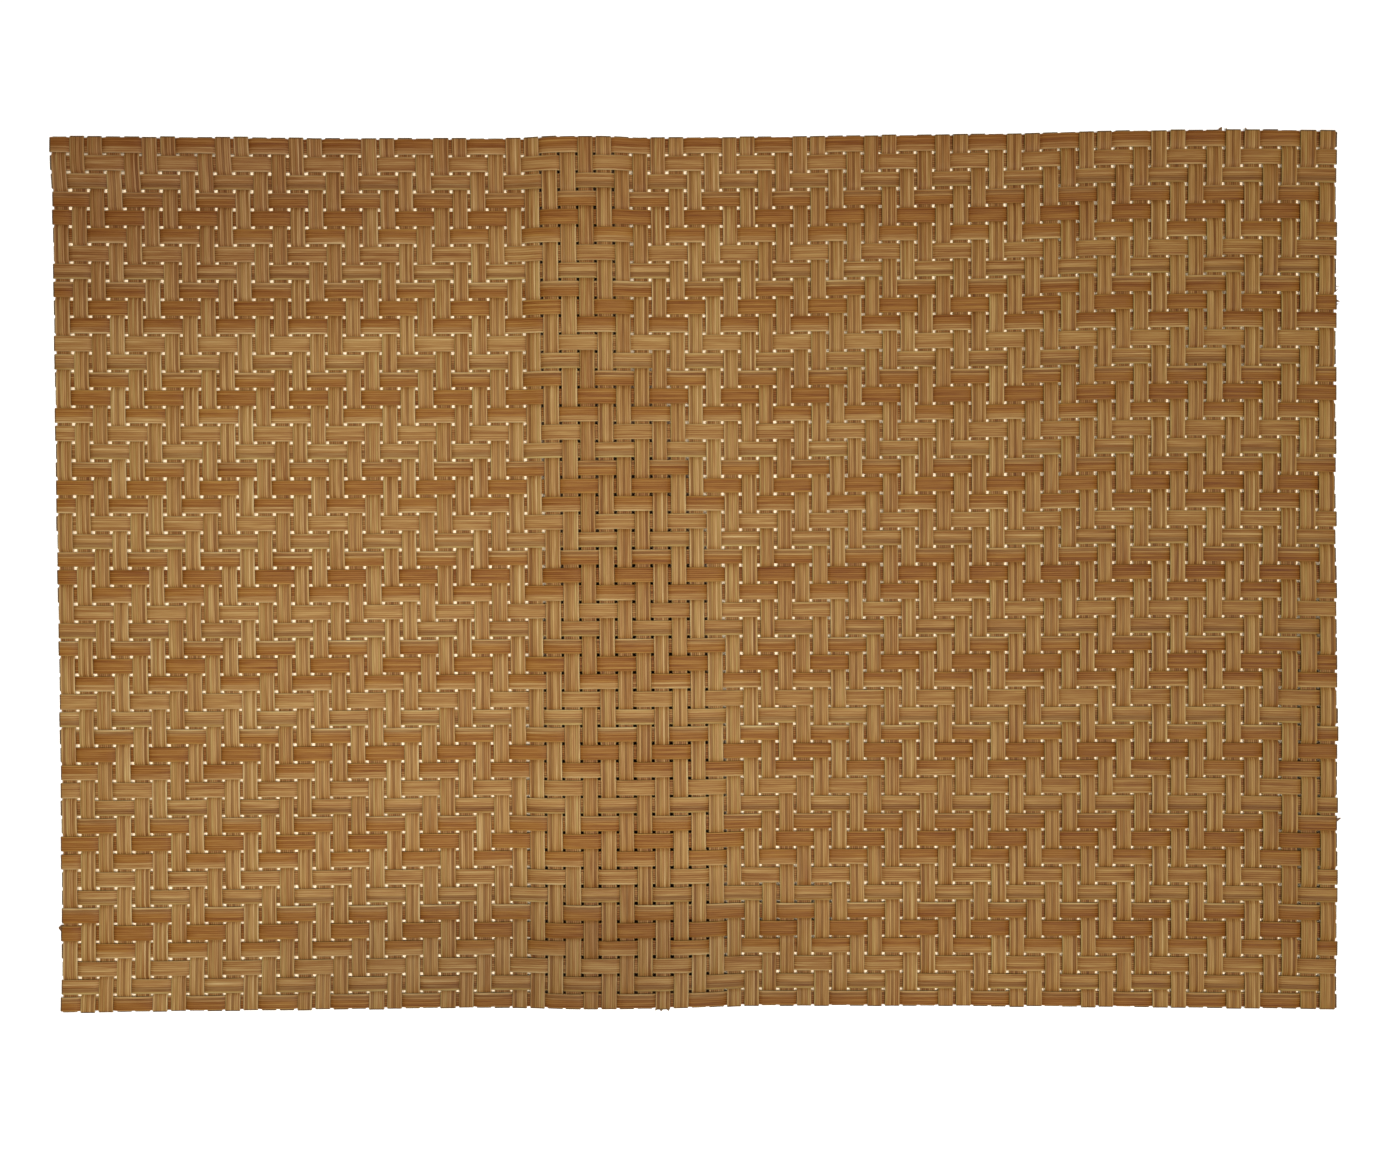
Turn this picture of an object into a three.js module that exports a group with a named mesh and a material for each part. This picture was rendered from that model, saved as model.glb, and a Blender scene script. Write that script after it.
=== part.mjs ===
// A woven placemat: one sheet of flat bands in an over-two, under-two twill, lying face up.
// Millimetres, +Z up, +X along the long side, +Y from the front edge to the back edge.
// The origin is on the surface that the mat lies on, under the middle of its outline.

import * as THREE from 'three';

// The sheet. Width and depth are those of the box round its uneven edges.
const WIDTH = 484.8;
const DEPTH = 332.8;
const THICKNESS = 1.6;

// The bands of the weave end in a cut edge, with a small notch at each gap between two bands.
const WARP_BANDS = 71;
const WEFT_BANDS = 49;
const NOTCH_WIDTH = 1.4;
const NOTCH_DEPTH = 0.8;

// The hot knife left the edge sloping in by this much from the underside to the top.
const EDGE_SLOPE = 0.3;

// The lattice inside the notched rim is fine enough to follow the swells.
const RIM_BANDS = 1.5;
const LATTICE_COLUMNS = 34;
const LATTICE_ROWS = 23;

// How far each edge stands in from the box, in mm, at a share of the way along it.
// Shares run from left to right, or from front to back.
const FRONT_EDGE = [
  { share: 0.00, inset: 0.0 },
  { share: 0.15, inset: 0.8 },
  { share: 0.35, inset: 1.9 },
  { share: 0.57, inset: 2.6 },
  { share: 0.80, inset: 2.2 },
  { share: 1.00, inset: 1.2 },
];
const BACK_EDGE = [
  { share: 0.00, inset: 2.6 },
  { share: 0.25, inset: 3.4 },
  { share: 0.50, inset: 2.9 },
  { share: 0.75, inset: 1.5 },
  { share: 0.93, inset: 0.1 },
  { share: 1.00, inset: 0.4 },
];
const LEFT_EDGE = [
  { share: 0.00, inset: 4.1 },
  { share: 0.08, inset: 4.4 },
  { share: 0.25, inset: 4.0 },
  { share: 0.55, inset: 2.5 },
  { share: 0.88, inset: 1.0 },
  { share: 1.00, inset: 0.0 },
];
const RIGHT_EDGE = [
  { share: 0.00, inset: 0.3 },
  { share: 0.50, inset: 0.5 },
  { share: 0.90, inset: 0.3 },
  { share: 1.00, inset: 0.0 },
];

// Low swells, where the mat stands off the surface. Each is a soft oval in mm, turned in degrees.
const SWELLS = [
  { place: 'front of the long fold', x: -24, y: -100, halfLength: 225, halfWidth: 47, rise: 4.2, turn: 90 },
  { place: 'back of the long fold', x: -43, y: 110, halfLength: 150, halfWidth: 25, rise: 3.0, turn: 90 },
  { place: 'beside the fold at the front', x: 36, y: -126, halfLength: 30, halfWidth: 20, rise: 1.3, turn: 0 },
  { place: 'right of the middle', x: 64, y: 30, halfLength: 190, halfWidth: 27, rise: 0.65, turn: 90 },
  { place: 'far right', x: 146, y: 80, halfLength: 120, halfWidth: 32, rise: 0.5, turn: 90 },
  { place: 'back right', x: 198, y: 92, halfLength: 48, halfWidth: 23, rise: 0.75, turn: 90 },
  { place: 'right edge', x: 236, y: -72, halfLength: 100, halfWidth: 21, rise: 1.5, turn: 90 },
  { place: 'back left corner', x: -200, y: 160, halfLength: 70, halfWidth: 15, rise: 1.1, turn: 8 },
];

// The inset of an edge, on a smooth curve through the rows of its table.
function insetAt(edge, share) {
  const shares = edge.map((row) => row.share);
  const insets = edge.map((row) => row.inset);
  const curve = new THREE.CubicInterpolant(shares, insets, 1, [0]);
  return curve.evaluate(share)[0];
}

// A point of the flat sheet. u runs from the left edge to the right, v from the front to the back.
function planPoint(u, v) {
  const left = insetAt(LEFT_EDGE, v) - WIDTH / 2;
  const right = WIDTH / 2 - insetAt(RIGHT_EDGE, v);
  const front = insetAt(FRONT_EDGE, u) - DEPTH / 2;
  const back = DEPTH / 2 - insetAt(BACK_EDGE, u);
  return new THREE.Vector2(
    THREE.MathUtils.lerp(left, right, u),
    THREE.MathUtils.lerp(front, back, v),
  );
}

// How far the underside is off the surface: the highest of the swells there, and 0 outside them.
function liftAt(point) {
  let lift = 0;
  for (const swell of SWELLS) {
    const turned = point.clone().rotateAround(
      new THREE.Vector2(swell.x, swell.y),
      -THREE.MathUtils.degToRad(swell.turn),
    );
    const reach = ((turned.x - swell.x) / swell.halfLength) ** 2
      + ((turned.y - swell.y) / swell.halfWidth) ** 2;
    const bump = reach < 1 ? (1 + Math.cos(Math.PI * reach)) / 2 : 0;
    lift = Math.max(lift, swell.rise * bump);
  }
  return lift;
}

// The four sides, anticlockwise from the front left corner of the sheet.
// onSide turns a share of the way along a side and a distance inwards into u and v.
const SIDES = [
  { bands: WARP_BANDS, length: WIDTH, onSide: (along, inwards) => [along, inwards / DEPTH] },
  { bands: WEFT_BANDS, length: DEPTH, onSide: (along, inwards) => [1 - inwards / WIDTH, along] },
  { bands: WARP_BANDS, length: WIDTH, onSide: (along, inwards) => [1 - along, 1 - inwards / DEPTH] },
  { bands: WEFT_BANDS, length: DEPTH, onSide: (along, inwards) => [inwards / WIDTH, 1 - along] },
];

// The outline: two points for the end of each band, and the notch before the next band.
// A point's place counts the sides passed on the way round, so half way along the second is 1.5.
function notchedOutline() {
  const outline = [];
  SIDES.forEach(({ bands, length, onSide }, passed) => {
    const halfNotch = NOTCH_WIDTH / 2 / length;
    const add = (along, inwards) => {
      outline.push({ point: planPoint(...onSide(along, inwards)), place: passed + along });
    };
    for (let band = 0; band < bands; band += 1) {
      add(band / bands + halfNotch, 0);
      add((band + 1) / bands - halfNotch, 0);
      if (band < bands - 1) {
        add((band + 1) / bands, NOTCH_DEPTH);
      }
    }
  });
  return outline;
}

// The lattice of points inside the rim, row by row from the front left.
function latticePoints() {
  const points = [];
  for (let row = 0; row <= LATTICE_ROWS; row += 1) {
    const v = THREE.MathUtils.mapLinear(
      row, 0, LATTICE_ROWS, RIM_BANDS / WEFT_BANDS, 1 - RIM_BANDS / WEFT_BANDS,
    );
    for (let column = 0; column <= LATTICE_COLUMNS; column += 1) {
      const u = THREE.MathUtils.mapLinear(
        column, 0, LATTICE_COLUMNS, RIM_BANDS / WARP_BANDS, 1 - RIM_BANDS / WARP_BANDS,
      );
      points.push(planPoint(u, v));
    }
  }
  return points;
}

// The lattice's own edge: indices into its points, each with its place on the way round.
function latticeRing() {
  const rowLength = LATTICE_COLUMNS + 1;
  const backRow = LATTICE_ROWS * rowLength;
  const ring = [];
  for (let column = 0; column < LATTICE_COLUMNS; column += 1) {
    ring.push({ index: column, place: column / LATTICE_COLUMNS });
  }
  for (let row = 0; row < LATTICE_ROWS; row += 1) {
    ring.push({ index: row * rowLength + LATTICE_COLUMNS, place: 1 + row / LATTICE_ROWS });
  }
  for (let column = LATTICE_COLUMNS; column > 0; column -= 1) {
    ring.push({ index: backRow + column, place: 3 - column / LATTICE_COLUMNS });
  }
  for (let row = LATTICE_ROWS; row > 0; row -= 1) {
    ring.push({ index: row * rowLength, place: 4 - row / LATTICE_ROWS });
  }
  return ring;
}

// Triangles between two loops that run round the sheet, stepping along whichever is behind.
function stitch(outer, inner) {
  const close = (loop) => [...loop, { index: loop[0].index, place: loop[0].place + SIDES.length }];
  const outside = close(outer);
  const inside = close(inner);
  const triangles = [];
  let a = 0;
  let b = 0;
  while (a < outer.length || b < inner.length) {
    const stepOutside = b === inner.length
      || (a < outer.length && outside[a + 1].place <= inside[b + 1].place);
    if (stepOutside) {
      triangles.push([outside[a].index, outside[a + 1].index, inside[b].index]);
      a += 1;
    } else {
      triangles.push([outside[a].index, inside[b + 1].index, inside[b].index]);
      b += 1;
    }
  }
  return triangles;
}

// Two triangles for each cell of the lattice, seen anticlockwise from above.
function latticeTriangles() {
  const rowLength = LATTICE_COLUMNS + 1;
  const triangles = [];
  for (let row = 0; row < LATTICE_ROWS; row += 1) {
    for (let column = 0; column < LATTICE_COLUMNS; column += 1) {
      const corner = row * rowLength + column;
      triangles.push([corner, corner + 1, corner + rowLength + 1]);
      triangles.push([corner, corner + rowLength + 1, corner + rowLength]);
    }
  }
  return triangles;
}

// The sheet as one closed body: the plan seen from above, the same from below, and the cut edge.
function sheetGeometry() {
  const outline = notchedOutline();
  const points = [...outline.map(({ point }) => point), ...latticePoints()];
  const rim = outline.map(({ place }, index) => ({ index, place }));
  const ring = latticeRing().map(({ index, place }) => ({ index: outline.length + index, place }));
  const plan = [
    ...stitch(rim, ring),
    ...latticeTriangles().map((triangle) => triangle.map((index) => outline.length + index)),
  ];

  const slopeX = 1 - (2 * EDGE_SLOPE) / WIDTH;
  const slopeY = 1 - (2 * EDGE_SLOPE) / DEPTH;
  const positions = [];
  for (const point of points) {
    positions.push(point.x, point.y, liftAt(point));
  }
  for (const point of points) {
    positions.push(point.x * slopeX, point.y * slopeY, liftAt(point) + THICKNESS);
  }

  const top = points.length;
  const indices = [];
  for (const [a, b, c] of plan) {
    indices.push(a, c, b);
    indices.push(top + a, top + b, top + c);
  }
  for (let from = 0; from < outline.length; from += 1) {
    const to = (from + 1) % outline.length;
    indices.push(from, to, top + to);
    indices.push(from, top + to, top + from);
  }

  const geometry = new THREE.BufferGeometry();
  geometry.setAttribute('position', new THREE.Float32BufferAttribute(positions, 3));
  geometry.setIndex(indices);
  geometry.computeVertexNormals();
  return geometry;
}

// Tan coated yarn with a low sheen.
const yarn = new THREE.MeshStandardMaterial({ color: '#9b7243', roughness: 0.6, metalness: 0 });

const mat = new THREE.Mesh(sheetGeometry(), yarn);
mat.name = 'mat';

const placemat = new THREE.Group();
placemat.add(mat);

export default placemat;
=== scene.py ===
"""A woven placemat lying face up on a pale floor, seen from straight above.

Metres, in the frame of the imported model.
"""

import math

import bpy
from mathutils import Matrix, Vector


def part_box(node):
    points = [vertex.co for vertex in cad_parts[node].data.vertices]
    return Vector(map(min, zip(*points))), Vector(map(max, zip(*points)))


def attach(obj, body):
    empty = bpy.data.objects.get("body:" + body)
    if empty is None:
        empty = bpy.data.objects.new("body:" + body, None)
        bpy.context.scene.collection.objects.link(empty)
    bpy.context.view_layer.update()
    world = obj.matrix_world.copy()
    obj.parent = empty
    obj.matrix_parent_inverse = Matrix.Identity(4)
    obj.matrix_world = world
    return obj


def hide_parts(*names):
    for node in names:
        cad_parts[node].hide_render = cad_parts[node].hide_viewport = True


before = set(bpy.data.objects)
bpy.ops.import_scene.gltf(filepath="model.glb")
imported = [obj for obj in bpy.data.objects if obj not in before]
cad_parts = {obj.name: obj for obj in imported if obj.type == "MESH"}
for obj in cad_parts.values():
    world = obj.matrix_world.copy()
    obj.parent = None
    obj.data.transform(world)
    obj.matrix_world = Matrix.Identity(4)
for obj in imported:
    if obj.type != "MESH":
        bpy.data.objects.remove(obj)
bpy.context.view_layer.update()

# The camera hangs straight over the mat, as the photograph was taken, at arm's length.
# The photograph is 1392 pixels wide and shows 2.651 of them to the millimetre.

MM = 0.001
PHOTO_WIDTH_PX = 1392
PIXELS_PER_MM = 2.651
CAMERA_HEIGHT = 0.60
CAMERA_X = 0.9 * MM
CAMERA_Y = -1.9 * MM
SENSOR_WIDTH = 36

photo_width = PHOTO_WIDTH_PX / PIXELS_PER_MM * MM
camera_data = bpy.data.cameras.new("camera")
camera_data.sensor_width = SENSOR_WIDTH
camera_data.lens = SENSOR_WIDTH * CAMERA_HEIGHT / photo_width
camera = bpy.data.objects.new("camera", camera_data)
camera.location = (CAMERA_X, CAMERA_Y, CAMERA_HEIGHT)
bpy.context.scene.collection.objects.link(camera)
bpy.context.scene.camera = camera

# The warps: 71 flat bands that run from the back edge to the front, each of seven coated yarns side by
# side. They pass over two wefts and under two, and each steps one weft on from its neighbour.

mat_low, mat_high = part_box("mat")
MAT_WIDTH = mat_high.x - mat_low.x
MAT_DEPTH = mat_high.y - mat_low.y
MAT_THICKNESS = 1.6 * MM
WARPS = 71
WEFTS = 49
YARNS = 7

# How far each edge stands in from the box round the mat, at a share of the way along it from the left
# or from the front.
FRONT_EDGE = {"share": (0.00, 0.15, 0.35, 0.57, 0.80, 1.00), "mm": (0.0, 0.8, 1.9, 2.6, 2.2, 1.2)}
BACK_EDGE = {"share": (0.00, 0.25, 0.50, 0.75, 0.93, 1.00), "mm": (2.6, 3.4, 2.9, 1.5, 0.1, 0.4)}
LEFT_EDGE = {"share": (0.00, 0.08, 0.25, 0.55, 0.88, 1.00), "mm": (4.1, 4.4, 4.0, 2.5, 1.0, 0.0)}
RIGHT_EDGE = {"share": (0.00, 0.50, 0.90, 1.00), "mm": (0.3, 0.5, 0.3, 0.0)}

# How far the bands have crept from even spacing: warps to the right, wefts to the back.
WARP_DRIFT = {
    "share": (0.00, 0.05, 0.18, 0.32, 0.46, 0.60, 0.75, 0.82, 0.93, 1.00),
    "mm": (0.0, 0.15, 0.6, 0.4, 0.2, -1.1, -2.1, -2.3, -1.4, 0.0),
}
WEFT_DRIFT = {
    "share": (0.00, 0.05, 0.24, 0.35, 0.50, 0.65, 0.80, 0.90, 1.00),
    "mm": (0.0, -0.5, -0.55, -0.85, -1.1, -0.9, -0.6, -0.2, 0.0),
}

# Where the mat stands off the table, in mm and degrees: the fold from the front edge comes first.
SWELLS = (
    {"x": -24, "y": -100, "half_length": 225, "half_width": 47, "rise": 4.2, "turn": 90},
    {"x": -43, "y": 110, "half_length": 150, "half_width": 25, "rise": 3.0, "turn": 90},
    {"x": 36, "y": -126, "half_length": 30, "half_width": 20, "rise": 1.3, "turn": 0},
    {"x": 64, "y": 30, "half_length": 190, "half_width": 27, "rise": 0.65, "turn": 90},
    {"x": 146, "y": 80, "half_length": 120, "half_width": 32, "rise": 0.5, "turn": 90},
    {"x": 198, "y": 92, "half_length": 48, "half_width": 23, "rise": 0.75, "turn": 90},
    {"x": 236, "y": -72, "half_length": 100, "half_width": 21, "rise": 1.5, "turn": 90},
    {"x": -200, "y": 160, "half_length": 70, "half_width": 15, "rise": 1.1, "turn": 8},
)


class Amount:
    """A number that a node tree works out, written as ordinary arithmetic."""

    def __init__(self, tree, socket):
        self.tree = tree
        self.socket = socket

    def work(self, operation, *others):
        made = self.tree.nodes.new("ShaderNodeMath")
        made.operation = operation
        for slot, value in zip(made.inputs, (self, *others)):
            put(self.tree, slot, value)
        return Amount(self.tree, made.outputs[0])

    def __add__(self, other):
        return self.work("ADD", other)

    def __sub__(self, other):
        return self.work("SUBTRACT", other)

    def __mul__(self, other):
        return self.work("MULTIPLY", other)

    def __truediv__(self, other):
        return self.work("DIVIDE", other)

    def __mod__(self, other):
        return self.work("FLOORED_MODULO", other)

    def __gt__(self, other):
        return self.work("GREATER_THAN", other)

    def __lt__(self, other):
        return self.work("LESS_THAN", other)

    def largest(self, other):
        return self.work("MAXIMUM", other)

    def smallest(self, other):
        return self.work("MINIMUM", other)

    def sine(self):
        return self.work("SINE")

    def whole(self):
        return self.work("FLOOR")

    def flipped(self):
        """1 for 0 and 0 for 1."""
        return self * -1 + 1


def put(tree, socket, value):
    """Links a socket to what feeds it, or sets its number."""
    if isinstance(value, Amount):
        tree.links.new(value.socket, socket)
    elif isinstance(value, bpy.types.NodeSocket):
        tree.links.new(value, socket)
    else:
        socket.default_value = value


def add_node(tree, kind, inputs=(), **settings):
    """A new node with its settings made and its inputs filled, by name or place."""
    made = tree.nodes.new(kind)
    for name, value in settings.items():
        setattr(made, name, value)
    for name, value in dict(inputs).items():
        put(tree, made.inputs[name], value)
    return made


def joined(tree, x, y, z):
    """A vector of three numbers."""
    return add_node(tree, "ShaderNodeCombineXYZ", {"X": x, "Y": y, "Z": z}).outputs[0]


def smooth_table(tree, share, table):
    """The metres that a table gives at a share, on a smooth curve through its rows."""
    low = min(table["mm"])
    span = max(table["mm"]) - low
    made = add_node(tree, "ShaderNodeFloatCurve", {"Value": share})
    points = made.mapping.curves[0].points
    while len(points) < len(table["share"]):
        points.new(0.5, 0.5)
    for point, at, mm in zip(points, table["share"], table["mm"]):
        point.location = (at, (mm - low) / span)
    made.mapping.update()
    return (Amount(tree, made.outputs[0]) * span + low) * MM


def lift_of_swell(tree, x, y, swell):
    """How far one swell holds the mat off the table at x and y."""
    turn = math.radians(swell["turn"])
    across_x = x - swell["x"] * MM
    across_y = y - swell["y"] * MM
    along = (across_x * math.cos(turn) + across_y * math.sin(turn)) / (swell["half_length"] * MM)
    beside = (across_y * math.cos(turn) - across_x * math.sin(turn)) / (swell["half_width"] * MM)
    reach = (along * along + beside * beside).smallest(1)
    return ((reach * math.pi).work("COSINE") + 1) * (swell["rise"] * MM / 2)


def lift_at(tree, x, y):
    """How far the mat is off the table at x and y: the highest of the swells there."""
    lift = lift_of_swell(tree, x, y, SWELLS[0])
    for swell in SWELLS[1:]:
        lift = lift.largest(lift_of_swell(tree, x, y, swell))
    return lift


def new_tree(name, kind, inputs, outputs):
    """A node group with its sockets, from rows of name, type and starting value."""
    tree = bpy.data.node_groups.new(name, kind)
    for in_out, rows in (("INPUT", inputs), ("OUTPUT", outputs)):
        for label, kind_of_socket, start in rows:
            socket_type = f"NodeSocket{kind_of_socket}"
            socket = tree.interface.new_socket(label, in_out=in_out, socket_type=socket_type)
            if start is not None:
                socket.default_value = start
    entry = tree.nodes.new("NodeGroupInput")
    given = {label: Amount(tree, entry.outputs[label]) for label, _, _ in inputs}
    return tree, given, tree.nodes.new("NodeGroupOutput")


def place_on_mat():
    """The node group that puts a point on the lying mat: shares of its width and depth, and a height."""
    tree, given, result = new_tree(
        "place on mat",
        "GeometryNodeTree",
        [("Width Share", "Float", 0.5), ("Depth Share", "Float", 0.5), ("Height", "Float", 0.0)],
        [("Position", "Vector", None)],
    )
    u = given["Width Share"]
    v = given["Depth Share"]
    left = smooth_table(tree, v, LEFT_EDGE) - MAT_WIDTH / 2
    right = smooth_table(tree, v, RIGHT_EDGE) * -1 + MAT_WIDTH / 2
    front = smooth_table(tree, u, FRONT_EDGE) - MAT_DEPTH / 2
    back = smooth_table(tree, u, BACK_EDGE) * -1 + MAT_DEPTH / 2
    x = left + (right - left) * u + smooth_table(tree, u, WARP_DRIFT)
    y = front + (back - front) * v + smooth_table(tree, v, WEFT_DRIFT)
    put(tree, result.inputs["Position"], joined(tree, x, y, given["Height"] + lift_at(tree, x, y)))
    return tree


def store(tree, geometry, name, value, domain="POINT"):
    """Keeps a number on the mesh under a name."""
    inputs = {"Geometry": geometry, "Name": name, "Value": value}
    made = add_node(tree, "GeometryNodeStoreNamedAttribute", inputs, data_type="FLOAT", domain=domain)
    return made.outputs[0]


# The layer of the white noise that random numbers are read from.
RANDOM_LAYER = 0.5


def random_by(tree, number, seed):
    """A number from -1 to 1 that goes with a whole number and a seed."""
    place = joined(tree, number.work("ROUND"), seed, RANDOM_LAYER)
    made = add_node(tree, "ShaderNodeTexWhiteNoise", {"Vector": place}, noise_dimensions="3D")
    return Amount(tree, made.outputs["Value"]) * 2 - 1


def noise_at(tree, x, y, z, detail=2.0):
    """Soft noise from about -1 to 1."""
    inputs = {"Vector": joined(tree, x, y, z), "Scale": 1.0, "Detail": detail}
    made = add_node(tree, "ShaderNodeTexNoise", inputs)
    return Amount(tree, made.outputs[0]) * 2 - 1


# The bare margins of a strip of the map, as shares of its length and of its width.
MAP_END_MARGIN = 0.01
MAP_SIDE_MARGIN = 0.04


def store_map(tree, geometry, place_in_group, given):
    """Lays the bands out flat in strips, one above another, as a UV map."""
    raw = add_node(tree, "GeometryNodeInputNamedAttribute", {"Name": "raw_map"}, data_type="FLOAT_VECTOR")
    raw = add_node(tree, "ShaderNodeSeparateXYZ", {0: raw.outputs["Attribute"]})
    along = Amount(tree, raw.outputs["X"])
    around = Amount(tree, raw.outputs["Y"])
    strips = given["Map Strips"]
    middle = add_node(tree, "GeometryNodeFieldOnDomain", {0: along}, data_type="FLOAT", domain="FACE")
    strip = (Amount(tree, middle.outputs[0]) * strips).whole()
    row = place_in_group * strips + strip
    across_map = (along * strips - strip) * (1 - 2 * MAP_END_MARGIN) + MAP_END_MARGIN
    up_map = row + around * (1 - 2 * MAP_SIDE_MARGIN) + MAP_SIDE_MARGIN
    flat = joined(tree, across_map, up_map / (given["Bands"] * strips), 0.0)
    inputs = {"Geometry": geometry, "Name": "OFBake", "Value": flat}
    made = add_node(tree, "GeometryNodeStoreNamedAttribute", inputs, data_type="FLOAT2", domain="CORNER")
    bare = add_node(tree, "GeometryNodeRemoveAttribute", {"Geometry": made.outputs[0], "Name": "raw_map"})
    return bare.outputs[0]


# The band's section has two points to each yarn on top, from valley to crown, and five underneath, where
# it is a little narrower. The outer crowns lie a little further out and the sides lower.
# Along a band, six steps make a float of two crossings, pulled together where the band dives.
BOTTOM_POINTS = 5
BOTTOM_SPREAD = 0.93
OUTER_CROWN_SHIFT = 0.06
SIDE_HEIGHT = 0.6
STEPS_TO_FLOAT = 6
CLOSING_STEPS = 2
STEP_PULL = 0.246
DIVE_SHARPNESS = 6

# How closely a point of the section is told from its neighbours, and how near points are welded.
NEARLY = 0.01
WELD_DISTANCE = 0.001 * MM

# The first closing step narrows and thins a band by these shares, and the second does the rest. The open
# part of a band keeps a small way off its ends, in crossings.
END_NARROWING = 0.06
END_THINNING = 0.45
END_MARGIN = 0.04

# How far one band's width differs from the next, and how its sway goes: how far bands are apart in the
# noise, how slowly it bends along a band, and the share of it that moves the whole band aside.
WIDTH_VARIES = 0.035
SWAY_BAND_STEP = 9.7
SWAY_PACE = 0.16
SWAY_ASIDE = 0.5


def band_tree(place_tree):
    """The tree that makes a group of neighbouring bands of one direction, woven and lying on the mat."""
    tree, given, result = new_tree(
        "woven bands",
        "GeometryNodeTree",
        [
            ("First Band", "Float", 0.0),
            ("Bands", "Float", 1.0),
            ("Bands In Mat", "Float", 1.0),
            ("Crossings", "Float", 1.0),
            ("Crossing Pitch", "Float", 1.0),
            ("Runs Left To Right", "Float", 0.0),
            ("First Over", "Float", 0.0),
            ("Band Width", "Float", 1.0),
            ("Band Thickness", "Float", 1.0),
            ("Rib Depth", "Float", 0.0),
            ("Sway", "Float", 0.0),
            ("Uneven Ends", "Float", 0.0),
            ("Mat Extent Across", "Float", 1.0),
            ("Map Strips", "Float", 1.0),
            ("Seed", "Float", 0.0),
            ("Material", "Material", None),
        ],
        [("Geometry", "Geometry", None)],
    )
    crossings = given["Crossings"]
    top_points = 2 * YARNS
    round_points = top_points + 1 + BOTTOM_POINTS
    steps = crossings * (STEPS_TO_FLOAT / 2) + 2 * CLOSING_STEPS

    # One sheet of faces for a band, whose flat coordinates count the steps along it and round it.
    raw = add_node(
        tree,
        "GeometryNodeMeshGrid",
        {"Size X": steps, "Size Y": round_points, "Vertices X": steps + 1, "Vertices Y": round_points + 1},
    )
    mapped = add_node(
        tree,
        "GeometryNodeStoreNamedAttribute",
        {"Geometry": raw.outputs["Mesh"], "Name": "raw_map", "Value": raw.outputs["UV Map"]},
        data_type="FLOAT2",
        domain="CORNER",
    )
    # Every band is laid out on the same spot, so the grid's own coordinates are still there to read.
    row = add_node(tree, "GeometryNodeMeshLine", {"Count": given["Bands"], "Offset": (0, 0, 0)})
    copies = add_node(
        tree, "GeometryNodeInstanceOnPoints", {"Points": row.outputs[0], "Instance": mapped.outputs[0]}
    )
    index = Amount(tree, tree.nodes.new("GeometryNodeInputIndex").outputs[0])
    numbered = store(tree, copies.outputs[0], "band", index + given["First Band"], "INSTANCE")
    flat = add_node(tree, "GeometryNodeRealizeInstances", {"Geometry": numbered}).outputs[0]
    read = add_node(tree, "GeometryNodeInputNamedAttribute", {"Name": "band"}, data_type="FLOAT")
    band = Amount(tree, read.outputs["Attribute"])
    spot = add_node(
        tree, "ShaderNodeSeparateXYZ", {0: tree.nodes.new("GeometryNodeInputPosition").outputs[0]}
    )
    step = (Amount(tree, spot.outputs["X"]) + steps / 2).work("ROUND")
    turn = (Amount(tree, spot.outputs["Y"]) + round_points / 2).work("ROUND") % round_points

    # The section: half widths across, and height over the middle of the band.
    on_top = turn < top_points + 0.5
    across_top = turn / YARNS - 1
    outer_crown = (across_top.work("ABSOLUTE") - (1 - 1 / YARNS)).work("ABSOLUTE") < NEARLY
    bottom_step = 2 * BOTTOM_SPREAD / (BOTTOM_POINTS - 1)
    across_bottom = (turn - (top_points + 1)) * -bottom_step + BOTTOM_SPREAD
    across = on_top * across_top + on_top.flipped() * across_bottom
    spread = across * (on_top * outer_crown * OUTER_CROWN_SHIFT + 1)
    crown = turn % 2
    at_side = across_top.work("ABSOLUTE") > 1 - NEARLY
    half_thick = given["Band Thickness"] / 2
    high = (half_thick - given["Rib Depth"] * crown.flipped()) * (at_side * (SIDE_HEIGHT - 1) + 1)
    section_height = on_top * high - on_top.flipped() * half_thick

    # The ends close in two steps, melted a little thinner and narrower.
    closing = (step * -1 + CLOSING_STEPS).largest(step - steps + CLOSING_STEPS).largest(0)
    ends = closing > 0.5
    shut = closing > 1.5
    narrow = (ends * END_NARROWING + shut * (1 - END_NARROWING)).flipped()
    thin = (ends * END_THINNING + shut * (1 - END_THINNING)).flipped()

    # The crossings passed so far, with the dives on whole numbers.
    phase = (band + 1) % 2
    floats = ((step - CLOSING_STEPS) / STEPS_TO_FLOAT).largest(0).smallest(crossings / 2) + phase / 2
    passed = floats * 2 - (floats * math.tau).sine() * STEP_PULL - phase
    margin = ends.flipped() * END_MARGIN
    passed = passed.largest(margin).smallest(crossings - margin)
    share = passed / crossings
    over = ((passed - given["First Over"] + band) * (math.pi / 2)).sine() * DIVE_SHARPNESS
    over = over.work("TANH") / math.tanh(DIVE_SHARPNESS)

    # No band is quite straight, even or cut quite to length.
    seed = given["Seed"]
    start_ragged = random_by(tree, band, seed + 1) * given["Uneven Ends"]
    end_ragged = random_by(tree, band, seed + 2) * given["Uneven Ends"]
    lengthened = share + (start_ragged * share.flipped() + end_ragged * share) / crossings
    drawn = random_by(tree, band, seed + 3) * WIDTH_VARIES + 1
    sway = noise_at(tree, band * SWAY_BAND_STEP, passed * SWAY_PACE, seed)
    sway += random_by(tree, band, seed + 4) * SWAY_ASIDE
    aside = spread * narrow * drawn * given["Band Width"] / 2 + sway * given["Sway"]

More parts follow.
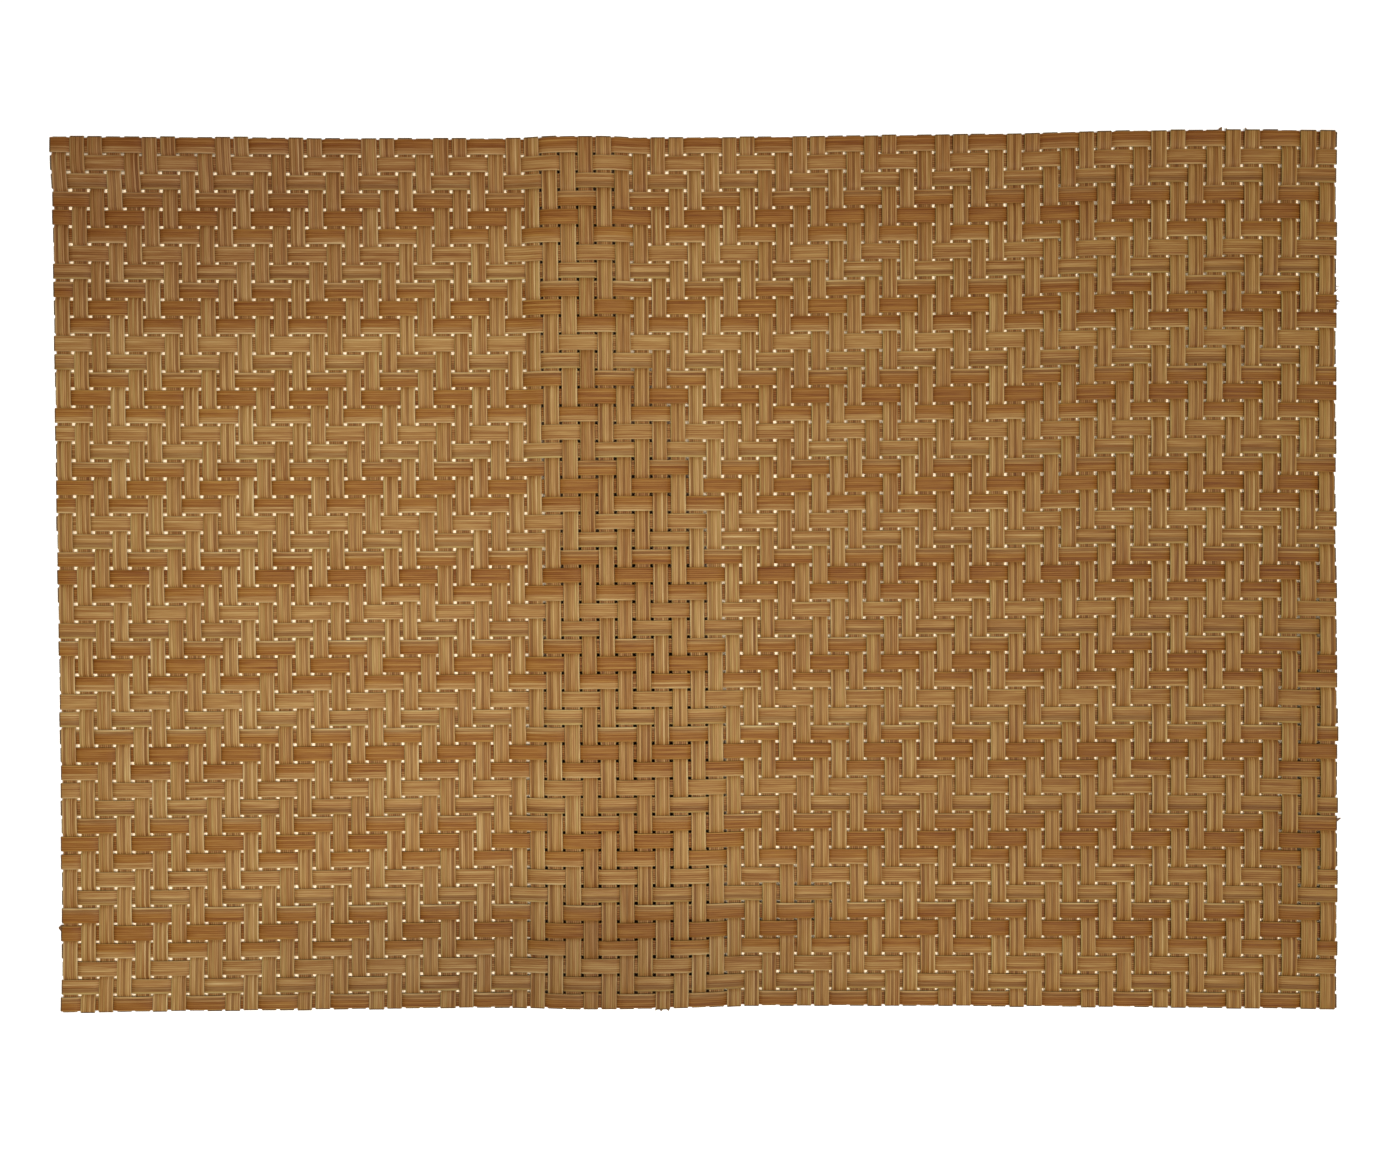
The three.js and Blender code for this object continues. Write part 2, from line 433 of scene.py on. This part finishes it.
    runs_across = given["Runs Left To Right"]
    lane = (band + 0.5) / given["Bands In Mat"]
    width_share = runs_across * lengthened
    width_share += runs_across.flipped() * (lane + aside / given["Mat Extent Across"])
    depth_share = runs_across.flipped() * lengthened.flipped()
    depth_share += runs_across * (lane.flipped() + aside / given["Mat Extent Across"])
    swing = (given["Band Thickness"] * -1 + MAT_THICKNESS) / 2
    height = over * swing + MAT_THICKNESS / 2 + section_height * thin
    put_down = tree.nodes.new("GeometryNodeGroup")
    put_down.node_tree = place_tree
    for name, value in (("Width Share", width_share), ("Depth Share", depth_share), ("Height", height)):
        put(tree, put_down.inputs[name], value)

    # What the yarns' finish reads: the place across in yarns and along in metres, the way from an end,
    # and 1 where the band passes under.
    stored = store(tree, flat, "across", (across + 1) * (YARNS / 2))
    stored = store(tree, stored, "along", passed * given["Crossing Pitch"])
    from_end = passed.smallest(crossings - passed) * given["Crossing Pitch"]
    stored = store(tree, stored, "from_end", from_end)
    stored = store(tree, stored, "buried", over * -0.5 + 0.5)
    placed = add_node(
        tree, "GeometryNodeSetPosition", {"Geometry": stored, "Position": put_down.outputs["Position"]}
    )
    unrolled = store_map(tree, placed.outputs[0], band - given["First Band"], given)
    welded = add_node(tree, "GeometryNodeMergeByDistance", {"Geometry": unrolled, "Distance": WELD_DISTANCE})
    smooth = add_node(tree, "GeometryNodeSetShadeSmooth", {"Geometry": welded.outputs[0]})
    whole = add_node(tree, "GeometryNodeRealizeInstances", {"Geometry": smooth.outputs[0]})
    dressed = add_node(
        tree, "GeometryNodeSetMaterial", {"Geometry": whole.outputs[0], "Material": given["Material"]}
    )
    put(tree, result.inputs["Geometry"], dressed.outputs[0])
    return tree


def lay_bands(name, tree, sizes):
    """Runs the tree for one group of bands and keeps what it makes as a plain mesh."""
    piece = bpy.data.objects.new(name, bpy.data.meshes.new(name))
    bpy.context.scene.collection.objects.link(piece)
    weave = piece.modifiers.new("weave", "NODES")
    weave.node_group = tree
    for socket in tree.interface.items_tree:
        if socket.in_out == "INPUT":
            weave[socket.identifier] = sizes[socket.name]
    made = piece.evaluated_get(bpy.context.evaluated_depsgraph_get())
    mesh = bpy.data.meshes.new_from_object(made)
    piece.modifiers.clear()
    piece.data = mesh
    mesh.name = name
    return piece


# The yarns' own colours.
YARN_COLOURS = {
    "tan": (0.248, 0.136, 0.0425),
    "straw": (0.274, 0.159, 0.0570),
    "olive": (0.226, 0.130, 0.0380),
    "rust": (0.192, 0.082, 0.0155),
    "brown": (0.174, 0.086, 0.0250),
}

# The melted ends, darker where the knife sealed them and with painted shade where the cut edge turns down:
# their colour, how far in they reach, how fast they fade there, and how much of the yarn's own colour they
# cover at most.
MELTED_END_AND_SHADE = (0.052, 0.032, 0.014, 1.0)
MELTED_AND_SHADED_LENGTH = 0.7 * MM
MELTED_AND_SHADED_REACH = 1.3
MOST_MELTED_AND_SHADED = 0.95

# How unevenly the yarns are coloured: each yarn by itself, slowly along it, and in fine streaks. The paces
# are per metre and the streaks across per yarn. The steps set one yarn's noise apart from the next one's.
OWN_TONE = 0.13
SLOW_TONE = 0.41
SLOW_PACE = 40
SLOW_YARN_STEP = 3.7
STREAK_TONE = 0.52
STREAK_PACE = 90
STREAKS_ACROSS = 4.3
STREAK_YARN_STEP = 1.9
STREAK_DETAIL = 3.0

# The grooves between yarns and the painted highlight on the outer sides, in widths of a yarn: how wide they
# are, how much of its depth the shallowest groove has, and the painted shade a groove gains where the band
# passes under.
GROOVE_HALF_WIDTH = 0.26
LEAST_GROOVE = 0.25
BURIED_GROOVE_SHADE = 0.5
PAINTED_SIDE_HIGHLIGHT_WIDTH = 0.7
PAINTED_SIDE_HIGHLIGHT = 0.35

# What the grooves do to the colour, and how much painted shade darkens a band where it passes under.
# Where the yarn is darker it is also browner: green and blue fall off faster than red.
GROOVE_BROWN = (0.49, 0.25, 0.12, 1.0)
PAINTED_UNDER_SHADE = 0.16
GREEN_FALL = 1.7
BLUE_FALL = 2.5

# The coating's gloss, duller in the grooves and smoother where it has melted, and its relief.
COATED_ROUGHNESS = 0.52
STREAK_ROUGHNESS = 0.2
MELTED_SMOOTHNESS = 0.15
COATED_SHEEN = 0.11
GROOVE_DULLNESS = 0.8
STREAK_RELIEF = 2
RELIEF_STRENGTH = 0.4
RELIEF_DEPTH = 0.08 * MM

# Painted shade: the mat is a little darker and browner to the right, and darker along its back and before
# the fold. A patch's darkness is what it takes from red, green and blue.
PAINTED_RIGHT_SHADE = (0.83, 0.76, 0.60, 1.0)
PAINTED_RIGHT_SHADE_WIDTH = 0.36
PAINTED_RIGHT_SHADE_AT_MIDDLE = 0.3
PAINTED_SHADE_PATCHES = (
    {"x": -0.225, "y": 0.150, "half_length": 0.17, "half_width": 0.080, "darkness": (0.23, 0.32, 0.32)},
    {"x": 0.040, "y": 0.185, "half_length": 0.30, "half_width": 0.070, "darkness": (0.11, 0.19, 0.22)},
    {"x": -0.060, "y": -0.160, "half_length": 0.15, "half_width": 0.055, "darkness": (0.24, 0.25, 0.24)},
)


# The mix node has its colour sockets at these places, behind those of its other kinds.
FIRST_COLOUR = 6
SECOND_COLOUR = 7
MIXED_COLOUR = 2


def mixed(tree, share, first, second, blend):
    """Two colours mixed or multiplied, by a share of the second."""
    inputs = {"Factor": share, FIRST_COLOUR: first, SECOND_COLOUR: second}
    made = add_node(tree, "ShaderNodeMix", data_type="RGBA", blend_type=blend)
    for name, value in inputs.items():
        put(tree, made.inputs[name], value)
    return made.outputs[MIXED_COLOUR]


def coated_yarn():
    """The shader group for the coated yarns of a band, worked out from what the mesh keeps on it."""
    tree, given, result = new_tree(
        "coated yarn",
        "ShaderNodeTree",
        [
            ("Across", "Float", 0.0),
            ("Along", "Float", 0.0),
            ("Band", "Float", 0.0),
            ("From End", "Float", 1.0),
            ("Yarn Colour", "Color", None),
            ("Buried", "Float", 0.0),
            ("Place X", "Float", 0.0),
            ("Place Y", "Float", 0.0),
            ("Seed", "Float", 0.0),
        ],
        [
            ("Color", "Color", None),
            ("Roughness", "Float", None),
            ("Sheen", "Float", None),
            ("Height", "Float", None),
        ],
    )
    across = given["Across"]
    along = given["Along"]
    seed = given["Seed"]
    yarn = across.whole().largest(0).smallest(YARNS - 1)
    number = given["Band"] * YARNS + yarn

    own_tone = random_by(tree, number, seed) * OWN_TONE
    slow = noise_at(tree, along * SLOW_PACE, number * SLOW_YARN_STEP, seed) * SLOW_TONE
    streaks = noise_at(
        tree, along * STREAK_PACE, across * STREAKS_ACROSS, number * STREAK_YARN_STEP, STREAK_DETAIL
    )
    streaks *= STREAK_TONE

    # The grooves between yarns, some much deeper than others, and the painted highlight along the edge of
    # the outer yarns.
    from_side = across.smallest(across * -1 + YARNS)
    joint = (across + 0.5).whole()
    from_joint = (across - joint).work("ABSOLUTE")
    joint_depth = random_by(tree, given["Band"] * (YARNS + 1) + joint, seed + 7) * 0.5 + 0.5
    groove = (from_joint / -GROOVE_HALF_WIDTH + 1).largest(0) * (from_side > 0.5)
    shown_depth = joint_depth * joint_depth * (1 - LEAST_GROOVE) + LEAST_GROOVE
    # Where the band passes under, painted shade deepens the groove.
    shown_depth = (shown_depth + given["Buried"] * BURIED_GROOVE_SHADE).smallest(1)
    groove_dark = groove * shown_depth
    painted_side_highlight = (from_side / -PAINTED_SIDE_HIGHLIGHT_WIDTH + 1).largest(0) * PAINTED_SIDE_HIGHLIGHT

    # The tone in red, green and blue, with the painted shade of the dark patches of the mat.
    x = given["Place X"]
    y = given["Place Y"]
    # Where the band passes under, painted shade darkens its tone.
    red = (own_tone + slow + streaks + painted_side_highlight + 1) * (given["Buried"] * PAINTED_UNDER_SHADE).flipped()
    green = red.work("POWER", GREEN_FALL)
    blue = red.work("POWER", BLUE_FALL)
    for patch in PAINTED_SHADE_PATCHES:
        aside = (x - patch["x"]) / patch["half_length"]
        beyond = (y - patch["y"]) / patch["half_width"]
        reach = (aside * aside + beyond * beyond).smallest(1)
        light_kept = [(reach.flipped() * dark).flipped() for dark in patch["darkness"]]
        red, green, blue = [part * kept for part, kept in zip((red, green, blue), light_kept)]
    shade = joined(tree, red, green, blue)
    toned = add_node(
        tree, "ShaderNodeVectorMath", {0: given["Yarn Colour"], 1: shade}, operation="MULTIPLY"
    )
    lined = mixed(tree, groove_dark, toned.outputs[0], GROOVE_BROWN, "MULTIPLY")
    # Painted shade: the colour grows darker and browner towards the right.
    to_right = (x / PAINTED_RIGHT_SHADE_WIDTH + PAINTED_RIGHT_SHADE_AT_MIDDLE).largest(0).smallest(1)
    painted_right_shade = mixed(tree, to_right, lined, PAINTED_RIGHT_SHADE, "MULTIPLY")
    # The ends darken: partly the sealed yarn's own colour, partly painted shade of the turned-down cut edge.
    melted_and_shaded = (given["From End"] / -MELTED_AND_SHADED_LENGTH + 1) * MELTED_AND_SHADED_REACH
    melted_and_shaded = melted_and_shaded.largest(0).smallest(MOST_MELTED_AND_SHADED)
    roughness = streaks * STREAK_ROUGHNESS - melted_and_shaded * MELTED_SMOOTHNESS + COATED_ROUGHNESS
    put(tree, result.inputs["Color"], mixed(tree, melted_and_shaded, painted_right_shade, MELTED_END_AND_SHADE, "MIX"))
    put(tree, result.inputs["Roughness"], roughness)
    put(tree, result.inputs["Sheen"], (groove * GROOVE_DULLNESS).flipped() * COATED_SHEEN)
    put(tree, result.inputs["Height"], streaks * STREAK_RELIEF - groove)
    return tree


def chart_colour(tree, chart, place):
    """The colour of a yarn from a chart of yarn names, where place counts yarns from its start."""
    names = " ".join(chart).split()
    ramp = add_node(tree, "ShaderNodeValToRGB", {"Fac": (place + 0.5) / len(names)})
    ramp.color_ramp.interpolation = "CONSTANT"
    stops = ramp.color_ramp.elements
    stops.remove(stops[1])
    stops[0].position = 0
    stops[0].color = (*YARN_COLOURS[names[0]], 1)
    for index in range(1, len(names)):
        if names[index] != names[index - 1]:
            stops.new(index / len(names)).color = (*YARN_COLOURS[names[index]], 1)
    return ramp.outputs["Color"]


def mesh_number(tree, name):
    """A number that the band's mesh keeps under a name."""
    return Amount(tree, add_node(tree, "ShaderNodeAttribute", attribute_name=name).outputs["Fac"])


def place_on_piece(tree):
    """Where on its piece a point is, in metres along x and y."""
    spot = tree.nodes.new("ShaderNodeTexCoord").outputs["Object"]
    parts = add_node(tree, "ShaderNodeSeparateXYZ", {0: spot})
    return Amount(tree, parts.outputs["X"]), Amount(tree, parts.outputs["Y"])


def band_material(name, chart, row_of_chart, seed):
    """The finish of one direction of bands; row_of_chart picks a band's row of the chart."""
    material = bpy.data.materials.new(name)
    material.use_nodes = True
    tree = material.node_tree
    shader = tree.nodes["Principled BSDF"]
    band = mesh_number(tree, "band").work("ROUND")
    across = mesh_number(tree, "across")
    yarn = across.whole().largest(0).smallest(YARNS - 1)
    x, y = place_on_piece(tree)
    finish = tree.nodes.new("ShaderNodeGroup")
    finish.node_tree = yarn_tree
    for name, value in {
        "Across": across,
        "Along": mesh_number(tree, "along"),
        "Band": band,
        "From End": mesh_number(tree, "from_end"),
        "Buried": mesh_number(tree, "buried"),
        "Yarn Colour": chart_colour(tree, chart, row_of_chart(tree, band) * YARNS + yarn),
        "Seed": seed,
        "Place X": x,
        "Place Y": y,
    }.items():
        put(tree, finish.inputs[name], value)
    relief = {"Height": finish.outputs["Height"], "Strength": RELIEF_STRENGTH, "Distance": RELIEF_DEPTH}
    bump = add_node(tree, "ShaderNodeBump", relief)
    put(tree, shader.inputs["Base Color"], finish.outputs["Color"])
    put(tree, shader.inputs["Roughness"], finish.outputs["Roughness"])
    put(tree, shader.inputs["Specular IOR Level"], finish.outputs["Sheen"])
    put(tree, shader.inputs["Normal"], bump.outputs["Normal"])
    return material


# Each warp is one of three kinds, charted yarn by yarn from the left. The middle kind is the commonest.
WARP_CHART = (
    "straw brown olive tan straw olive straw",
    "olive straw tan brown tan tan straw",
    "olive tan olive tan straw brown tan",
)
WARP_SEED = 11
WARP_KIND_SEED = 41
SECOND_KIND_FROM = -0.5
THIRD_KIND_FROM = 0.45


def warp_kind(tree, band):
    """The row of the chart that a warp has."""
    drawn = random_by(tree, band, WARP_KIND_SEED)
    return (drawn > SECOND_KIND_FROM) + (drawn > THIRD_KIND_FROM)


BAND_THICKNESS = 0.74 * MM
RIB_DEPTH = 0.16 * MM
WARP_WIDTH = 5.67 * MM
WARP_GROUPS = 14
WEFT_GROUPS = 14

yarn_tree = coated_yarn()
weave_tree = band_tree(place_on_mat())
warp_finish = band_material("warp yarns", WARP_CHART, warp_kind, WARP_SEED)

band_pieces = []
for group in range(WARP_GROUPS):
    first = WARPS * group // WARP_GROUPS
    bands = WARPS * (group + 1) // WARP_GROUPS - first
    warps = lay_bands(f"warps_{group + 1:02d}", weave_tree, {
        "First Band": float(first),
        "Bands": float(bands),
        "Bands In Mat": float(WARPS),
        "Crossings": float(WEFTS),
        "Crossing Pitch": MAT_DEPTH / WEFTS,
        "Runs Left To Right": 0.0,
        "First Over": 1.0,
        "Band Width": WARP_WIDTH,
        "Band Thickness": BAND_THICKNESS,
        "Rib Depth": RIB_DEPTH,
        "Sway": 0.15 * MM,
        "Uneven Ends": 0.025,
        "Mat Extent Across": MAT_WIDTH,
        "Map Strips": 2.0,
        "Seed": float(WARP_SEED),
        "Material": warp_finish,
    })
    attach(warps, "root")
    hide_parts("mat")
    band_pieces.append(warps)

# The wefts: 49 bands of the same yarns that run from side to side, through the warps. They are thrown in
# turn from shuttles of different colours, so a stripe of rust comes back with every fifth weft.

WEFT_CHART = (
    "straw tan tan rust rust rust rust",
    "straw tan tan tan tan tan tan",
    "olive brown brown tan straw tan tan",
    "rust rust rust rust tan brown straw",
    "rust rust rust rust rust rust rust",
)
WEFT_SEED = 23
WEFT_WIDTH = 5.74 * MM


def weft_row(tree, band):
    """The row of the chart that a weft has."""
    return band % len(WEFT_CHART)


weft_finish = band_material("weft yarns", WEFT_CHART, weft_row, WEFT_SEED)

for group in range(WEFT_GROUPS):
    first = WEFTS * group // WEFT_GROUPS
    bands = WEFTS * (group + 1) // WEFT_GROUPS - first
    wefts = lay_bands(f"wefts_{group + 1:02d}", weave_tree, {
        "First Band": float(first),
        "Bands": float(bands),
        "Bands In Mat": float(WEFTS),
        "Crossings": float(WARPS),
        "Crossing Pitch": MAT_WIDTH / WARPS,
        "Runs Left To Right": 1.0,
        "First Over": 3.0,
        "Band Width": WEFT_WIDTH,
        "Band Thickness": BAND_THICKNESS,
        "Rib Depth": RIB_DEPTH,
        "Sway": 0.12 * MM,
        "Uneven Ends": 0.03,
        "Mat Extent Across": MAT_DEPTH,
        "Map Strips": 3.0,
        "Seed": float(WEFT_SEED),
        "Material": weft_finish,
    })
    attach(wefts, "root")
    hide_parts("mat")
    band_pieces.append(wefts)

# The frays: ends of the outer bands' own yarns, which the hot knife left hanging out of the cut edges.
# Each is a short tip that starts inside a band's end and droops a little.

# Where each hangs out, in mm, which way it points in degrees, how far, and its width and thickness.
FRAYS = (
    {"x": -242, "y": -134.5, "z": 1, "turn": 176, "out": 1.2, "width": 2.6, "thick": 0.7, "yarn": "rust"},
    {"x": -14.7, "y": -167, "z": 5, "turn": -100, "out": 0.5, "width": 0.7, "thick": 0.4, "yarn": "brown"},
    {"x": -12.1, "y": -167, "z": 5, "turn": -94, "out": 0.8, "width": 1.5, "thick": 0.4, "yarn": "brown"},
    {"x": -9.5, "y": -167, "z": 5, "turn": -80, "out": 0.7, "width": 1.1, "thick": 0.4, "yarn": "brown"},
    {"x": 243, "y": 107.2, "z": 1, "turn": 4, "out": 2.0, "width": 0.3, "thick": 0.3, "yarn": "brown"},
    {"x": 243, "y": 105.6, "z": 1, "turn": 38, "out": 1.1, "width": 0.4, "thick": 0.3, "yarn": "brown"},
    {"x": 243, "y": 101.8, "z": 1, "turn": -14, "out": 1.4, "width": 1.0, "thick": 0.4, "yarn": "rust"},
    {"x": 243, "y": 100.4, "z": 1, "turn": 24, "out": 1.0, "width": 0.5, "thick": 0.3, "yarn": "brown"},
    {"x": 243, "y": -93.6, "z": 2, "turn": 24, "out": 1.9, "width": 1.3, "thick": 0.5, "yarn": "brown"},
    {"x": 198.5, "y": 167, "z": 1, "turn": 60, "out": 1.2, "width": 1.4, "thick": 0.5, "yarn": "rust"},
    {"x": 208, "y": 167, "z": 1, "turn": 110, "out": 0.9, "width": 0.9, "thick": 0.5, "yarn": "brown"},
    {"x": 200.6, "y": 167, "z": 1, "turn": 100, "out": 0.7, "width": 0.6, "thick": 0.4, "yarn": "brown"},
)
FRAY_SIDES = 8

# Rings of points along a fray: how far out, how wide, and how low it droops, as shares of its sizes.
FRAY_RINGS = ((-0.8, 1.0, 0.0), (0.1, 0.9, 0.0), (0.6, 0.5, 0.12), (0.9, 0.2, 0.22))
BARE_YARN_SHADE = 0.6
BARE_YARN_ROUGHNESS = 0.6


def nearest_band_end(row):
    """The point on the bands where a fray's root sits."""
    start = Vector((row["x"], row["y"], row["z"])) * MM
    found = [band.closest_point_on_mesh(start)[1] for band in band_pieces]
    return min(found, key=lambda place: (place - start).length)


def fray_points(row):
    """The rings of a tapered tip that starts inside the end of a band and droops a little."""
    root = nearest_band_end(row)
    turn = math.radians(row["turn"])
    outward = Vector((math.cos(turn), math.sin(turn), 0))
    sideways = Vector((-math.sin(turn), math.cos(turn), 0))
    points = []
    for out, size, droop in FRAY_RINGS:
        middle = root + outward * (out * row["out"] * MM)
        for side in range(FRAY_SIDES):
            angle = math.tau * side / FRAY_SIDES
            across = sideways * (math.cos(angle) * row["width"] * size / 2 * MM)
            up = (math.sin(angle) * row["thick"] * size / 2 - droop * row["thick"]) * MM
            points.append(middle + across + Vector((0, 0, up)))
    return points


def fray_faces(first):
    """The closed skin over one fray's rings, the first point of which has this number."""
    faces = [tuple(first + side for side in reversed(range(FRAY_SIDES)))]
    for ring in range(len(FRAY_RINGS) - 1):
        for side in range(FRAY_SIDES):
            near = first + ring * FRAY_SIDES + side
            far = first + ring * FRAY_SIDES + (side + 1) % FRAY_SIDES
            faces.append((near, far, far + FRAY_SIDES, near + FRAY_SIDES))
    last = first + (len(FRAY_RINGS) - 1) * FRAY_SIDES
    faces.append(tuple(range(last, last + FRAY_SIDES)))
    return faces


def bare_yarn(name):
    """The finish of a yarn outside its band, where no coating keeps it bright."""
    finish = bpy.data.materials.new(f"frayed {name} yarn")
    finish.use_nodes = True
    shader = finish.node_tree.nodes["Principled BSDF"]
    bare = [part * BARE_YARN_SHADE for part in YARN_COLOURS[name]]
    shader.inputs["Base Color"].default_value = (*bare, 1)
    shader.inputs["Roughness"].default_value = BARE_YARN_ROUGHNESS
    return finish


points = []
faces = []
yarn_of_face = []
fray_yarns = sorted({row["yarn"] for row in FRAYS})
for row in FRAYS:
    skin = fray_faces(len(points))
    points += fray_points(row)
    faces += skin
    yarn_of_face += [fray_yarns.index(row["yarn"])] * len(skin)

fray_mesh = bpy.data.meshes.new("frays")
fray_mesh.from_pydata(points, [], faces)
for name in fray_yarns:
    fray_mesh.materials.append(bare_yarn(name))
fray_mesh.polygons.foreach_set("material_index", yarn_of_face)
fray_mesh.polygons.foreach_set("use_smooth", [True] * len(faces))
frays = bpy.data.objects.new("frays", fray_mesh)
bpy.context.scene.collection.objects.link(frays)
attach(frays, "root")

# The floor and the light: a white floor, with painted shade under the mat, under one soft lamp, high up to
# the right of the mat, with a small lamp on the left and some light from all round.

FLOOR_SIZE = 12.0
FLOOR_DROP = 0.1 * MM
FLOOR_WHITE = (0.93, 0.93, 0.93, 1.0)
FLOOR_PAINTED_WARM_SHADE = (0.85, 0.69, 0.49, 1.0)
PAINTED_SHADE_INSET = 4.5 * MM
FLOOR_ROUGHNESS = 0.8
FLOOR_SHEEN = 0.1

# Under the mat the floor shows only through the holes. It is painted cream there, a painted warm shade for
# the light that reaches it through the holes off the yarns, and painted deep shade where the mat stands well
# off it.
FLOOR_SHADED = (0.20, 0.11, 0.06, 1.0)
SHADE_FROM_LIFT = 0.7 * MM
FULL_SHADE_LIFT = 1.7 * MM

floor_mesh = bpy.data.meshes.new("floor")
half = FLOOR_SIZE / 2
corners = [(-half, -half), (half, -half), (half, half), (-half, half)]
floor_mesh.from_pydata([(x, y, -FLOOR_DROP) for x, y in corners], [], [(0, 1, 2, 3)])
floor = bpy.data.objects.new("floor", floor_mesh)
bpy.context.scene.collection.objects.link(floor)
floor_finish = bpy.data.materials.new("white floor")
floor_finish.use_nodes = True
floor_tree = floor_finish.node_tree
floor_x, floor_y = place_on_piece(floor_tree)
from_below = floor_tree.nodes.new("ShaderNodeNewGeometry").outputs["Backfacing"]
under_mat = Amount(floor_tree, from_below).flipped()
under_mat *= floor_x.work("ABSOLUTE") < MAT_WIDTH / 2 - PAINTED_SHADE_INSET
under_mat *= floor_y.work("ABSOLUTE") < MAT_DEPTH / 2 - PAINTED_SHADE_INSET
shaded = lift_at(floor_tree, floor_x, floor_y) - SHADE_FROM_LIFT
shaded = (shaded / (FULL_SHADE_LIFT - SHADE_FROM_LIFT)).largest(0).smallest(1)
under_colour = mixed(floor_tree, shaded, FLOOR_PAINTED_WARM_SHADE, FLOOR_SHADED, "MIX")
floor_colour = mixed(floor_tree, under_mat, FLOOR_WHITE, under_colour, "MIX")
floor_shader = floor_tree.nodes["Principled BSDF"]
put(floor_tree, floor_shader.inputs["Base Color"], floor_colour)
floor_shader.inputs["Roughness"].default_value = FLOOR_ROUGHNESS
floor_shader.inputs["Specular IOR Level"].default_value = FLOOR_SHEEN
floor_mesh.materials.append(floor_finish)

# The lamp shines straight down. The fill is aimed a little to the left of the mat's middle, in a narrow
# cone.
LAMP_COLOUR = (1.0, 0.97, 0.92)
LAMP_PLACE = Vector((1.05, -0.35, 3.0))
LAMP_SIZE = 0.8
LAMP_WATTS = 99
FILL_PLACE = Vector((-0.30, -0.10, 1.10))
FILL_AIM = Vector((-0.05, -0.05, 0))
FILL_SIZE = 0.30
FILL_WATTS = 0.7
FILL_SPREAD = math.radians(50)
ROOM_COLOUR = (1.0, 0.96, 0.90, 1)
ROOM_STRENGTH = 0.24


def hang_lamp(name, place, size, watts):
    """A round soft lamp that shines straight down."""
    data = bpy.data.lights.new(name, "AREA")
    data.shape = "DISK"
    data.size = size
    data.energy = watts
    data.color = LAMP_COLOUR
    lamp = bpy.data.objects.new(name, data)
    lamp.location = place
    bpy.context.scene.collection.objects.link(lamp)
    return lamp


hang_lamp("lamp", LAMP_PLACE, LAMP_SIZE, LAMP_WATTS)
fill = hang_lamp("fill", FILL_PLACE, FILL_SIZE, FILL_WATTS)
fill.data.spread = FILL_SPREAD
fill.rotation_euler = (FILL_AIM - FILL_PLACE).to_track_quat("-Z", "Y").to_euler()

world = bpy.data.worlds.new("room")
world.use_nodes = True
room = world.node_tree.nodes["Background"]
room.inputs["Color"].default_value = ROOM_COLOUR
room.inputs["Strength"].default_value = ROOM_STRENGTH
bpy.context.scene.world = world
bpy.context.scene.view_settings.view_transform = "Standard"
